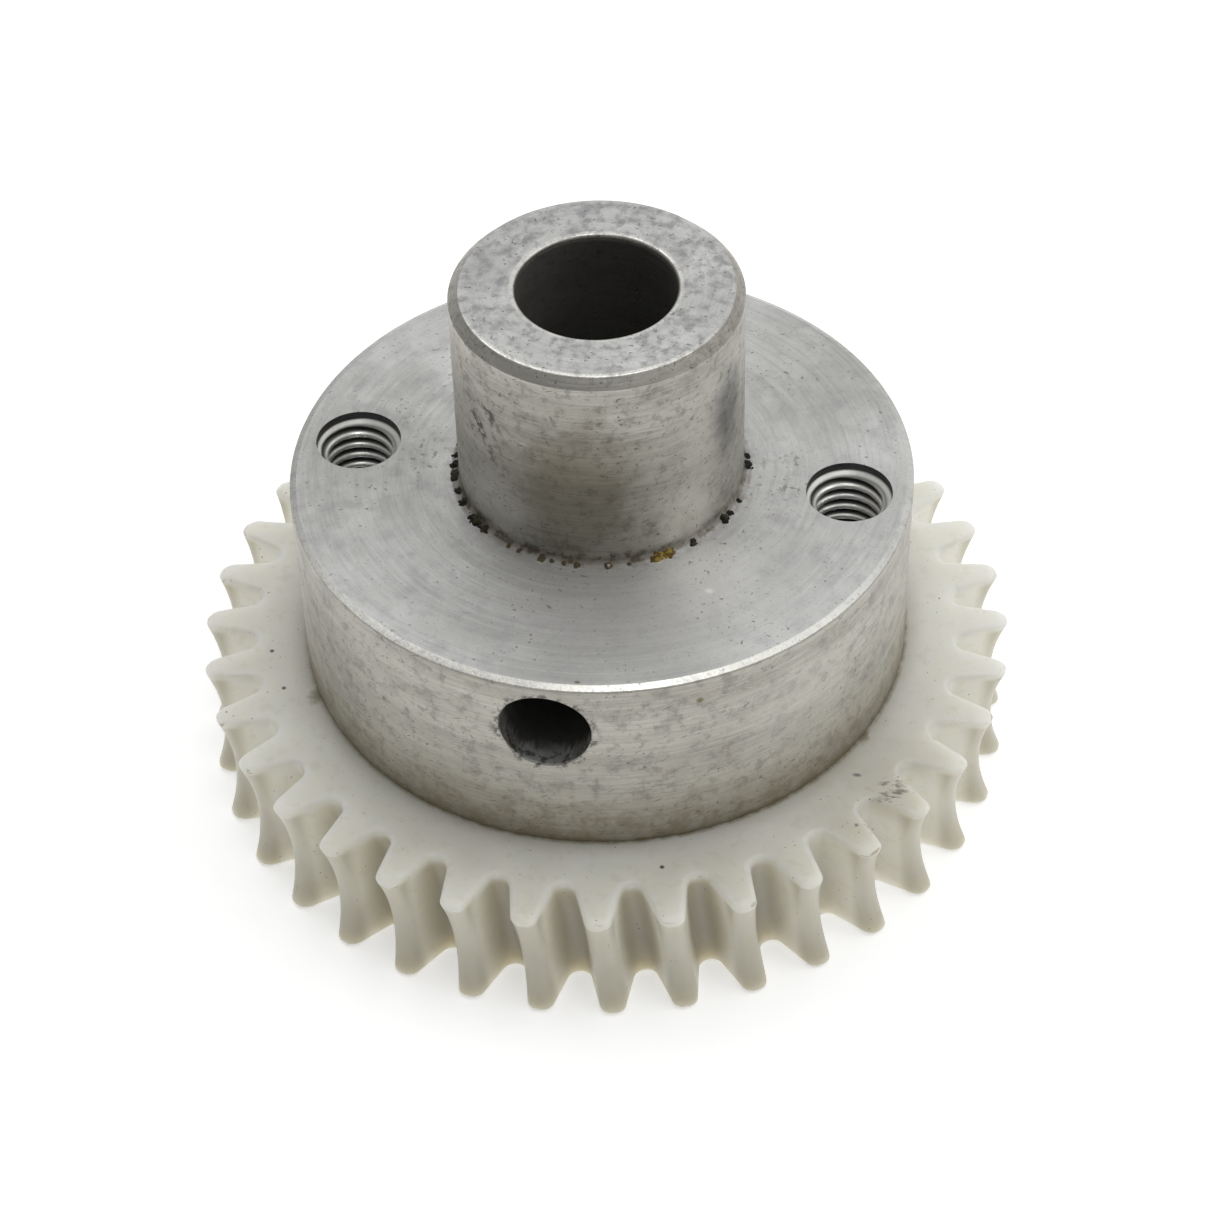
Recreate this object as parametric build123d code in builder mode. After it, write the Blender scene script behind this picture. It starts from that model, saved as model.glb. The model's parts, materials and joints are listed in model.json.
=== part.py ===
"""Worm wheel on an aluminium hub: a throated nylon tooth ring screwed under a turned flange.

Units are millimetres and +Z is up along the shaft bore, towards the boss.
The origin is on the bore axis, in the underside of the ring.  The two tapped holes
lie on the X axis and the clamp screw's hole faces -Y.
"""
from build123d import *
import os
from math import cos, radians, sin, sqrt, tan

# ---- driving dimensions: tooth ring --------------------------------------------
module = 1.1                # transverse module of the teeth
tooth_count = 36
lead_angle = 5.7            # lean of the teeth, left hand, degrees
pressure_angle = 20.0
ring_height = 7.0
throat_radius = 10.0        # radius of the throat arc, about the worm's axis
tooth_depth = 2.55          # tip to floor of a gap at mid height
gap_floor_width = 0.62      # width of a gap between its flanks, at the floor
gap_corner_radius = 0.28
ring_bore_radius = 8.02     # 0.02 mm slide fit on the hub's spigot
ring_edge = 0.25

# ---- driving dimensions: hub -----------------------------------------------------
bore_radius = 4.0
flange_radius = 16.0
flange_height = 11.0
flange_edge = 0.28
boss_radius = 7.3
boss_height = 11.8
boss_edge = 0.5
boss_foot_radius = 0.35
bore_edge = 0.15
spigot_radius = 8.0
spigot_edge = 0.3

# ---- driving dimensions: M4 threads and screws ----------------------------------
tap_drill_radius = 1.65     # wall of a free M4 tapped hole, at its thread's crests
engaged_hole_radius = 1.98  # the same wall where a screw fills it, at the thread's roots
screw_radius = 1.95         # an M4 screw at its thread's crests
tapped_hole_x = 12.8        # distance of each tapped hole from the bore's axis
tapped_countersink_radius = 2.2

ring_hole_radius = 2.2      # clearance hole for the screw in the ring
screw_head_radius = 3.7
screw_head_rim = 0.25       # straight rim under the flat of the countersunk head
screw_head_sink = 0.1       # the flat of the head lies this far inside the ring
screw_head_clearance = 0.03
screw_length = 12.0
screw_tip_edge = 0.35
screw_tip_relief = 0.2      # the engaged wall ends this far past the screw's tip
screw_slot_width = 1.2
screw_slot_depth = 1.1
screw_slot_angle = 35.0

clamp_hole_drop = 3.15      # axis of the clamp screw below the flange's top face
clamp_access_radius = 2.3   # plain outer part of the hole, wide enough for the screw
clamp_access_depth = 6.0
clamp_access_edge = 0.08
set_screw_length = 5.0
set_screw_gap = 0.1         # from the bore's wall to the screw's cup point, at rest
set_screw_tip_edge = 0.35
hex_socket_flats = 2.0
hex_socket_depth = 2.2
cup_radius = 0.9
cup_depth = 0.5

cutter_past_tips = 1.5      # the gap cutter starts this far outside the tooth tips

# ---- worked out from the above ----------------------------------------------------
flange_bottom = ring_height
flange_top = flange_bottom + flange_height
boss_top = flange_top + boss_height
mid_height = ring_height / 2
throat_tip_radius = module * (tooth_count / 2 + 1)   # tips at the waist of the throat
worm_distance = throat_tip_radius + throat_radius
floor_arc_radius = throat_radius + tooth_depth
face_tip_radius = worm_distance - sqrt(throat_radius**2 - mid_height**2)
clamp_height = flange_top - clamp_hole_drop
ring_screw_tip = screw_head_sink + screw_length
engaged_top = ring_screw_tip + screw_tip_relief
tapped_spots = [(-tapped_hole_x, 0), (tapped_hole_x, 0)]

os.makedirs("parts", exist_ok=True)


def half_gap(worm_radius):
    """Half the width of a gap, at this distance from the worm's axis."""
    return gap_floor_width / 2 + (floor_arc_radius - worm_radius) * tan(radians(pressure_angle))


# ---- hub: boss, flange and spigot, turned in one piece ----------------------------
with BuildPart() as hub:
    with BuildSketch(Plane.XZ):
        with BuildLine():
            Polyline(
                (bore_radius + bore_edge, 0),
                (spigot_radius - spigot_edge, 0),
                (spigot_radius, spigot_edge),
                (spigot_radius, flange_bottom),
                (flange_radius - flange_edge, flange_bottom),
                (flange_radius, flange_bottom + flange_edge),
                (flange_radius, flange_top - flange_edge),
                (flange_radius - flange_edge, flange_top),
                (boss_radius + boss_foot_radius, flange_top),
            )
            RadiusArc(
                (boss_radius + boss_foot_radius, flange_top),
                (boss_radius, flange_top + boss_foot_radius),
                boss_foot_radius,
            )
            Polyline(
                (boss_radius, flange_top + boss_foot_radius),
                (boss_radius, boss_top - boss_edge),
                (boss_radius - boss_edge, boss_top),
                (bore_radius + bore_edge, boss_top),
                (bore_radius, boss_top - bore_edge),
                (bore_radius, bore_edge),
                (bore_radius + bore_edge, 0),
            )
        make_face()
    revolve(axis=Axis.Z)
    with Locations(Plane.XY.offset(flange_top)):
        with Locations(*tapped_spots):
            CounterSinkHole(
                radius=tap_drill_radius,
                counter_sink_radius=tapped_countersink_radius,
                depth=flange_height,
                counter_sink_angle=90,
            )
    with Locations(Plane.XY.offset(engaged_top)):
        with Locations(*tapped_spots):
            Cylinder(
                engaged_hole_radius,
                engaged_top - flange_bottom,
                align=(Align.CENTER, Align.CENTER, Align.MAX),
                mode=Mode.SUBTRACT,
            )
    with Locations(Plane(origin=(0, -flange_radius, clamp_height), z_dir=(0, -1, 0))):
        CounterBoreHole(
            radius=engaged_hole_radius,
            counter_bore_radius=clamp_access_radius,
            counter_bore_depth=clamp_access_depth,
            depth=flange_radius,
        )
    mouth = hub.edges().sort_by(Axis.Y)[0]
    chamfer(mouth, clamp_access_edge)
hub.part.label = "hub"
export_step(hub.part, "parts/hub.step")

# ---- gap cutter: the worm's tooth space, swept round the worm's axis --------------
worm_axis_direction = (0, cos(radians(lead_angle)), sin(radians(lead_angle)))
cutter_plane = Plane(
    origin=(worm_distance, 0, mid_height),
    x_dir=(-1, 0, 0),
    z_dir=(0, sin(radians(lead_angle)), -cos(radians(lead_angle))),
)
cutter_inner = throat_radius - cutter_past_tips

with BuildPart() as gap_cutter:
    with BuildSketch(cutter_plane) as gap_outline:
        with BuildLine():
            Polyline(
                (cutter_inner, -half_gap(cutter_inner)),
                (floor_arc_radius, -half_gap(floor_arc_radius)),
                (floor_arc_radius, half_gap(floor_arc_radius)),
                (cutter_inner, half_gap(cutter_inner)),
                (cutter_inner, -half_gap(cutter_inner)),
            )
        make_face()
        fillet(gap_outline.vertices().group_by(Axis.X)[0], gap_corner_radius)
    revolve(axis=Axis((worm_distance, 0, mid_height), worm_axis_direction))

# ---- gear ring: throated blank, bored for the spigot and cut with the gaps --------
with BuildPart() as gear_ring:
    with BuildSketch(Plane.XZ):
        with BuildLine():
            Polyline(
                (ring_bore_radius, ring_height),
                (ring_bore_radius, 0),
                (face_tip_radius - ring_edge, 0),
                (face_tip_radius, ring_edge),
            )
            ThreePointArc(
                (face_tip_radius, ring_edge),
                (throat_tip_radius, mid_height),
                (face_tip_radius, ring_height - ring_edge),
            )
            Polyline(
                (face_tip_radius, ring_height - ring_edge),
                (face_tip_radius - ring_edge, ring_height),
                (ring_bore_radius, ring_height),
            )
        make_face()
    revolve(axis=Axis.Z)
    with PolarLocations(0, tooth_count, start_angle=180 / tooth_count):
        add(gap_cutter.part, mode=Mode.SUBTRACT)
    with Locations(Plane.XY.rotated((180, 0, 0))):
        with Locations(*tapped_spots):
            CounterSinkHole(
                radius=ring_hole_radius,
                counter_sink_radius=screw_head_radius + screw_head_clearance + screw_head_sink + screw_head_rim,
                depth=ring_height,
                counter_sink_angle=90,
            )
gear_ring.part.label = "gear_ring"
export_step(gear_ring.part, "parts/gear_ring.step")

# ---- ring screws: countersunk, slotted, up through the ring into the tapped holes --
cone_top = screw_head_sink + screw_head_rim + screw_head_radius - screw_radius

for (screw_x, screw_y), screw_name in zip(tapped_spots, ("ring_screw_left", "ring_screw_right")):
    with BuildPart() as ring_screw:
        with BuildSketch(Plane.XZ):
            with BuildLine():
                Polyline(
                    (screw_x, screw_head_sink),
                    (screw_x + screw_head_radius, screw_head_sink),
                    (screw_x + screw_head_radius, screw_head_sink + screw_head_rim),
                    (screw_x + screw_radius, cone_top),
                    (screw_x + screw_radius, ring_screw_tip - screw_tip_edge),
                    (screw_x + screw_radius - screw_tip_edge, ring_screw_tip),
                    (screw_x, ring_screw_tip),
                    (screw_x, screw_head_sink),
                )
            make_face()
        revolve(axis=Axis((screw_x, screw_y, 0), (0, 0, 1)))
        with BuildSketch(Plane.XY.offset(screw_head_sink)):
            with Locations((screw_x, screw_y)):
                Rectangle(3 * screw_head_radius, screw_slot_width, rotation=screw_slot_angle)
        extrude(amount=screw_slot_depth, mode=Mode.SUBTRACT)
    ring_screw.part.label = screw_name
    export_step(ring_screw.part, f"parts/{screw_name}.step")

# ---- set screw: socket grub screw with a cup point, in the flange's radial hole ----
cup_y = -(bore_radius + set_screw_gap)
socket_y = cup_y - set_screw_length

with BuildPart() as set_screw:
    with BuildSketch(Plane.YZ):
        with BuildLine():
            Polyline(
                (cup_y - cup_depth, clamp_height),
                (cup_y, clamp_height + cup_radius),
                (cup_y, clamp_height + screw_radius - set_screw_tip_edge),
                (cup_y - set_screw_tip_edge, clamp_height + screw_radius),
                (socket_y + set_screw_tip_edge, clamp_height + screw_radius),
                (socket_y, clamp_height + screw_radius - set_screw_tip_edge),
                (socket_y, clamp_height),
                (cup_y - cup_depth, clamp_height),
            )
        make_face()
    revolve(axis=Axis((0, 0, clamp_height), (0, 1, 0)))
    with BuildSketch(Plane(origin=(0, socket_y, clamp_height), z_dir=(0, -1, 0))):
        RegularPolygon(radius=hex_socket_flats / 2, side_count=6, major_radius=False)
    extrude(amount=-hex_socket_depth, mode=Mode.SUBTRACT)
set_screw.part.label = "set_screw"
export_step(set_screw.part, "parts/set_screw.step")
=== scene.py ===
"""Looks of the worm wheel: a turned aluminium hub, a nylon tooth ring and their M4 screws.

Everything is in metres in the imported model's frame: +Z runs up the bore, the tapped holes
lie on the X axis and the clamp screw's hole faces -Y.
"""

import json
from math import atan2, cos, pi, radians, sin, sqrt, tan

import bpy
import numpy as np
from mathutils import Matrix, Vector, geometry, noise


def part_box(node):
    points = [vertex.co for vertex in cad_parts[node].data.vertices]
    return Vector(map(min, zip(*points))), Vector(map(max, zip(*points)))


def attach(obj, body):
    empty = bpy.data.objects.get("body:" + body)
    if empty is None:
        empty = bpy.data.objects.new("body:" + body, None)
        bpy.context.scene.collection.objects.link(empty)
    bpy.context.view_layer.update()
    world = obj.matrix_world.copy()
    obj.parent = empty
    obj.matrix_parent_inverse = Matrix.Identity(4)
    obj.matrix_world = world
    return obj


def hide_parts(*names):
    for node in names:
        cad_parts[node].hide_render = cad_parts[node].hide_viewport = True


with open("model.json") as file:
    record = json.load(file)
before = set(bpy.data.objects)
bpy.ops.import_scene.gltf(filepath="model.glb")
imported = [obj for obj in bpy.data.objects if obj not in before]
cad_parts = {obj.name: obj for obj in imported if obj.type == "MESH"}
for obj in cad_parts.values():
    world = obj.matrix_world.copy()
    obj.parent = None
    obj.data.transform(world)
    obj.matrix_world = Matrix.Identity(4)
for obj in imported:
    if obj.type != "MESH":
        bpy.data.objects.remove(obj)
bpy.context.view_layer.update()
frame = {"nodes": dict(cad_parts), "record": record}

MM = 0.001
mounts = {m["name"]: m for m in frame["record"]["mounts"]}
hub_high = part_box("hub")[1]
ring_low, ring_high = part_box("gear_ring")
set_screw_low, set_screw_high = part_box("set_screw")

# ---- sizes that the mounts and the boxes give ----
bore_radius = mounts["shaft_bore"]["dims"]["r_mm"] * MM
face_tip_radius = ring_high.x
boss_radius = mounts["boss_pilot"]["dims"]["r_mm"] * MM
tap_drill_radius = mounts["tapped_hole_left"]["dims"]["r_mm"] * MM
tapped_hole_x = mounts["tapped_hole_right"]["pos_m"][0]
tapped_spots = [(-tapped_hole_x, 0), (tapped_hole_x, 0)]
flange_top = mounts["flange_face"]["pos_m"][2]
flange_bottom = ring_high.z
flange_radius = hub_high.x
boss_top = hub_high.z
clamp_height = (set_screw_low.z + set_screw_high.z) / 2

# ---- tooth ring ----
tooth_count = 36
lead_angle = radians(5.7)
pressure_angle = radians(18.5)
throat_tip_radius = 20.9 * MM
throat_radius = 10.0 * MM
tooth_depth = 2.55 * MM
gap_half_floor = 0.44 * MM
gap_corner_radius = 0.6 * MM
tip_corner_radius = 0.6 * MM
ring_mid = (ring_low.z + ring_high.z) / 2
worm_distance = throat_tip_radius + throat_radius
tip_chamfer = 0.25 * MM     # on the tooth tips, at both faces of the ring
ring_bore_radius = 8.02 * MM
ring_hole_radius = 2.2 * MM
screw_seat_radius = 4.08 * MM
ring_edge_radius = 0.34 * MM
web_radius = 18.0 * MM      # quads run in to here from the teeth on both faces
ring_levels = 21            # levels of points up the teeth, between the edges' roundings
seat_crease = 0.01 * MM

# ---- hub ----
spigot_radius = 8.0 * MM
spigot_edge = 0.3 * MM
flange_edge = 0.14 * MM
worn_edge_width = 0.34 * MM     # the flange's top edge, worn, and painted bright with a painted highlight at the front
worn_edge_drop = 0.15 * MM
worn_edge_roundings = [0.05 * MM, 0.1 * MM]
boss_bevel = 0.5 * MM
boss_bevel_rounding = 0.16 * MM
boss_foot = 0.35 * MM
bore_edge = 0.15 * MM
bore_top_edge = 0.2 * MM
foot_end = 8.5 * MM         # the patch with the crumbs runs from here on the flange ...
foot_top = flange_top + 1.1 * MM    # ... to here on the boss
straight = 0.12 * MM        # a plain stretch between a rounding and the next face

# ---- how many points: round the flange, the boss, the bore and a tapped hole, and up the walls
around = 360
boss_count = 1080
bore_count = 180
tap_count = 96
foot_rows = 56
plain_rows = 12

# ---- M4 threads and screws ----
thread_pitch = 0.7 * MM
thread_depth = 0.35 * MM
engaged_thread_depth = 0.22 * MM
thread_steps = 14
engaged_hole_radius = 1.98 * MM
screw_radius = set_screw_high.x
engaged_top = 12.3 * MM
countersink_radius = 2.2 * MM
tap_mouth_wall = 0.45 * MM
tap_mouth_slope = 1.6
access_radius = 2.3 * MM
access_edge = 0.08 * MM
access_end = 10.0 * MM      # -y where the clamp screw's hole narrows to its thread ...
thread_end = bore_radius + 0.4 * MM     # ... and where the thread ends


def put_in_scene(name, data):
    item = bpy.data.objects.new(name, data)
    bpy.context.scene.collection.objects.link(item)
    return item


class Skin:
    """A mesh of separate patches with exact normals, welded where their points meet."""

    weld = 1e-7
    askew = Matrix.Rotation(0.3, 3, "Z")    # keeps the points of a flat face off shared levels

    def __init__(self):
        self.points = []
        self.normals = []
        self.faces = []

    def add(self, points, normals, faces):
        start = sum(len(p) for p in self.points)
        self.points.append(np.asarray(points, float).reshape(-1, 3))
        self.normals.append(np.asarray(normals, float).reshape(-1, 3))
        self.faces += [tuple(start + i for i in face) for face in faces]

    def grid(self, rows, closed=True, normals=None):
        """Quads between rows of points. With rows going up and columns anticlockwise, they face out."""
        rows = np.asarray(rows, float)
        count, width = rows.shape[:2]
        if normals is None:
            along = np.gradient(rows, axis=0)
            if closed:
                across = np.roll(rows, -1, 1) - np.roll(rows, 1, 1)
            else:
                across = np.gradient(rows, axis=1)
            normals = np.cross(across, along)
            normals /= np.maximum(np.linalg.norm(normals, axis=2, keepdims=True), 1e-12)
        faces = []
        for i in range(count - 1):
            for j in range(width if closed else width - 1):
                k = (j + 1) % width
                faces.append((i * width + j, i * width + k, (i + 1) * width + k, (i + 1) * width + j))
        self.add(rows, normals, faces)

    def flat(self, outer, holes, up):
        """A level face inside outer and outside holes, each a loop of points. up is 1 or -1."""
        loops = [[self.askew @ Vector(p) / MM for p in loop] for loop in (outer, *holes)]
        points = [p for loop in loops for p in loop]
        faces = []
        for face in geometry.tessellate_polygon(loops):
            a, b, c = (points[i] for i in face)
            turn = (b - a).cross(c - a).z
            faces.append(face if turn * up > 0 else face[::-1])
        self.add(np.concatenate([outer, *holes]), [(0, 0, up)] * len(points), faces)

    def build(self, name, place=Matrix()):
        turn = np.array(place.to_3x3())
        points = np.concatenate(self.points) @ turn.T + np.array(place.translation)
        normals = np.concatenate(self.normals) @ turn.T
        keys = np.round(points / self.weld).astype(np.int64)
        first, same = np.unique(keys, axis=0, return_index=True, return_inverse=True)[1:]
        same = same.reshape(-1)
        faces, corners = [], []
        for face in self.faces:
            welded = [int(same[i]) for i in face]
            kept = [n for n in range(len(face)) if welded[n] != welded[n - 1]]
            if len(kept) > 2:
                faces.append([welded[n] for n in kept])
                corners += [normals[face[n]] for n in kept]
        mesh = bpy.data.meshes.new(name)
        mesh.from_pydata(points[first].tolist(), [], faces)
        mesh.polygons.foreach_set("use_smooth", [True] * len(faces))
        mesh.normals_split_custom_set(np.asarray(corners).tolist())
        return put_in_scene(name, mesh)


def circle(radius, height, centre=(0, 0), count=around):
    """A loop of points anticlockwise about Z. radius is one number or one for each point."""
    angles = np.arange(count) * 2 * pi / count
    x = centre[0] + radius * np.cos(angles)
    y = centre[1] + radius * np.sin(angles)
    return np.stack([x, y, np.full(count, height)], -1)


def turned(profile, count=around):
    """Rows of circles about Z through a profile of (radius, height) points."""
    return np.stack([circle(r, z, count=count) for r, z in profile])


def rounded(corners, radii, steps=6):
    """A profile through corners, with an arc of the given radius at each inner corner."""
    path = [corners[0]]
    for before, here, after, radius in zip(corners, corners[1:], corners[2:], radii):
        before, here, after = (np.array(p, float) for p in (before, here, after))
        back = (before - here) / np.linalg.norm(before - here)
        ahead = (after - here) / np.linalg.norm(after - here)
        half = np.arccos(np.clip(back @ ahead, -1, 1)) / 2
        centre = here + (back + ahead) / np.linalg.norm(back + ahead) * radius / sin(half)
        first = here + back * radius / tan(half) - centre
        last = here + ahead * radius / tan(half) - centre
        sweep = atan2(first[0] * last[1] - first[1] * last[0], first @ last)
        for t in np.linspace(0, sweep, steps + 1):
            turn = np.array([[cos(t), -sin(t)], [sin(t), cos(t)]])
            path.append(tuple(centre + turn @ first))
    path.append(corners[-1])
    return path


def thread_rise(phase):
    """0 on a thread's crest and 1 in its root, for an internal M thread."""
    wave = 1 - np.abs(2 * (phase % 1) - 1)
    return np.clip((wave - 0.25) / 0.625, 0, 1)


# ---- clamp screw's ends ----
set_screw_edge = 0.35 * MM
hex_socket_flats = 2.0 * MM
hex_socket_depth = 2.2 * MM
cup_radius = 0.9 * MM
cup_depth = 0.5 * MM
cup_floor_radius = 0.05 * MM

# ---- dirt at the boss's foot: angle in degrees, half its length and its height in mm ----
crumbs = [
    (176, 0.25, 0.1), (-177, 0.25, 0.14), (-171, 0.4, 0.2), (-165, 0.45, 0.18), (-156, 0.3, 0.12),
    (-149, 0.3, 0.16), (-137, 0.7, 0.26), (-131, 0.3, 0.14), (-118, 0.15, 0.08), (-113, 0.14, 0.08),
    (-103, 0.22, 0.09), (-99, 0.15, 0.07), (-94, 0.13, 0.07), (-89, 0.2, 0.08), (-77, 0.22, 0.18),
    (-69, 0.13, 0.07), (-58, 0.42, 0.2), (-53, 0.38, 0.18), (-42, 0.24, 0.15), (-24, 0.36, 0.26),
    (-20, 0.2, 0.16), (-12, 0.18, 0.14),
    (9, 0.36, 0.28), (14, 0.22, 0.18), (64, 0.4, 0.16), (92, 0.26, 0.12), (121, 0.45, 0.2),
    (158, 0.24, 0.12),
]
crumb_grain = 0.22 * MM
crumb_reach = 0.36 * MM     # how far a crumb spreads up the boss and out on the flange
crumb_full_reach = 0.28     # half length, in mm, from which a crumb has its full reach
rusty_crumb = (4.3, -6.2, 18.2)     # mm

# ---- drilled walls: a round wall about Z with one round hole facing -Y ----
window_columns = 40
window_rows = 10
window_share = 1.12         # half the window's height, as a share of the hole's radius


def window_loop():
    """The columns and the rows of the points of the window round the hole, counted from its middle."""
    half_c, half_r = window_columns // 2, window_rows // 2
    right = [(half_c, r) for r in range(-half_r, half_r)]
    top = [(c, half_r) for c in range(half_c, -half_c, -1)]
    left = [(-half_c, r) for r in range(half_r, -half_r, -1)]
    bottom = [(c, -half_r) for c in range(-half_c, half_c)]
    return np.array(right + top + left + bottom).T


def hole_angles(half_width, half_height):
    """The angle about the hole's axis of each point of the window round it."""
    column, row = window_loop()
    return np.arctan2(row * half_height / (window_rows // 2), column * half_width / (window_columns // 2))


def drilled_wall(skin, radius, bottom, top, hole_radius, angles, facing, count):
    """A wall about Z from bottom to top with a round hole at clamp_height. facing is 1 out, -1 in."""
    step = 2 * pi / count
    half_height = hole_radius * window_share
    low, high = clamp_height - half_height, clamp_height + half_height
    heights = list(np.linspace(bottom, low, plain_rows)[:-1])
    first_row = len(heights)
    heights += list(np.linspace(low, high, window_rows + 1))
    heights += list(np.linspace(high, top, plain_rows)[1:])
    columns = -pi / 2 + (np.arange(count) - window_columns // 2) * step

    def on_wall(turn, height):
        return np.stack([radius * np.cos(turn), radius * np.sin(turn), height + 0 * turn], -1)

    def outward(turn):
        return facing * np.stack([np.cos(turn), np.sin(turn), 0 * turn], -1)

    points = np.stack([on_wall(columns, z) for z in heights])
    normals = np.stack([outward(columns)] * len(heights))
    faces = []
    for i in range(len(heights) - 1):
        for j in range(count):
            if first_row <= i < first_row + window_rows and j < window_columns:
                continue
            k = (j + 1) % count
            face = (i * count + j, i * count + k, (i + 1) * count + k, (i + 1) * count + j)
            faces.append(face[::facing])
    skin.add(points, normals, faces)
    column, row = window_loop()
    edge_turn, edge_height = column * step, row * half_height / (window_rows // 2)
    hole_turn = np.arcsin(hole_radius * np.cos(angles) / radius)
    hole_height = hole_radius * np.sin(angles)
    rows, row_normals = [], []
    for share in np.linspace(0, 1, 7):
        turn = -pi / 2 + edge_turn * (1 - share) + hole_turn * share
        height = clamp_height + edge_height * (1 - share) + hole_height * share
        rows.append(on_wall(turn, height))
        row_normals.append(outward(turn))
    skin.grid(rows[::facing], normals=row_normals[::facing])


def radial_ring(angles, radius, depth):
    """A loop of points about the clamp screw's axis. depth is -y, or gives it at each x."""
    x = radius * np.cos(angles)
    z = clamp_height + radius * np.sin(angles)
    y = -depth(x) if callable(depth) else -depth + 0 * x
    return np.stack([x, y, z], -1)


# ---- hub ----
def on_flange(x):
    return np.sqrt(flange_radius**2 - x**2)


def on_bore(x):
    return np.sqrt(bore_radius**2 - x**2)


def crumbed(profile):
    """The boss's foot as rows of circles, with ragged crumbs of old dirt raised out of the corner."""
    path = np.array(profile)
    length = np.r_[0, np.cumsum(np.linalg.norm(np.diff(path, axis=0), axis=1))]
    even = np.linspace(0, length[-1], foot_rows)
    path = np.stack([np.interp(even, length, path[:, i]) for i in (0, 1)], -1)
    ahead = np.gradient(path, axis=0)
    ahead /= np.linalg.norm(ahead, axis=1, keepdims=True)
    out = np.stack([ahead[:, 1], -ahead[:, 0]], -1)
    turns = np.arange(boss_count) * 2 * pi / boss_count
    corner = length[-1] * 0.47
    ragged = np.array([[
        noise.fractal(Vector((r * cos(t), r * sin(t), z)) / crumb_grain, 0.8, 2.0, 2) for t in turns
    ] for r, z in path])
    rise = np.zeros(ragged.shape)
    for angle, half_length, height in crumbs:
        off = (turns - radians(angle) + pi) % (2 * pi) - pi
        reach = crumb_reach * min(1, half_length / crumb_full_reach)
        share = 1 - np.hypot(off * boss_radius / (half_length * MM), (even[:, None] - corner) / reach)
        lump = np.clip(1.7 * share + 0.75 * ragged - 0.3, 0, 1) ** 0.8 * (share > 0)
        rise = np.maximum(rise, height * MM * lump)
    rise[:2] = 0
    rise[-2:] = 0
    radius = path[:, :1] + out[:, :1] * rise
    height = path[:, 1:] + out[:, 1:] * rise
    return np.stack([radius * np.cos(turns), radius * np.sin(turns), height], -1)


def clamp_hole(skin, angles, mouth_radius):
    """The clamp screw's hole, from the flange's rim in to the bore."""
    rows = [radial_ring(angles, mouth_radius, on_flange)]
    for t in np.linspace(0.2, 1, 5):
        sink = access_edge * t
        rows.append(radial_ring(angles, mouth_radius - access_edge * sin(t * pi / 2),
                                lambda x: on_flange(x) - sink))
    for share in np.linspace(0.1, 1, 10):
        rows.append(radial_ring(angles, access_radius,
                                lambda x: (on_flange(x) - access_edge) * (1 - share) + access_end * share))
    for radius in np.linspace(access_radius, engaged_hole_radius, 4)[1:]:
        rows.append(radial_ring(angles, radius, access_end))
    for depth in np.arange(access_end, thread_end, -thread_pitch / thread_steps)[1:]:
        fade = min(1, (access_end - depth) / thread_pitch, (depth - thread_end) / thread_pitch)
        rise = thread_rise((access_end - depth) / thread_pitch + angles / (2 * pi)) * fade
        rows.append(radial_ring(angles, engaged_hole_radius + engaged_thread_depth * rise, depth))
    for share in np.linspace(0, 1, 6):
        rows.append(radial_ring(angles, engaged_hole_radius,
                                lambda x: thread_end * (1 - share) + on_bore(x) * share))
    skin.grid(rows)


def tapped_hole(skin, x, y):
    """A tapped hole, threaded from its mouth down to the ring screw."""
    turns = np.arange(tap_count) * 2 * pi / tap_count
    rows = []
    for depth in np.arange(0, flange_top - engaged_top, thread_pitch / thread_steps):
        phase = depth / thread_pitch + turns / (2 * pi)
        lip = countersink_radius - max(0, depth - tap_mouth_wall) * tap_mouth_slope
        radius = np.maximum(tap_drill_radius + thread_depth * thread_rise(phase), lip)
        rows.append(circle(radius, flange_top - depth, (x, y), tap_count))
    for radius, height in ((tap_drill_radius, engaged_top), (engaged_hole_radius, engaged_top),
                           (engaged_hole_radius, flange_bottom)):
        rows.append(circle(radius, height, (x, y), tap_count))
    skin.grid(rows)


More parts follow.
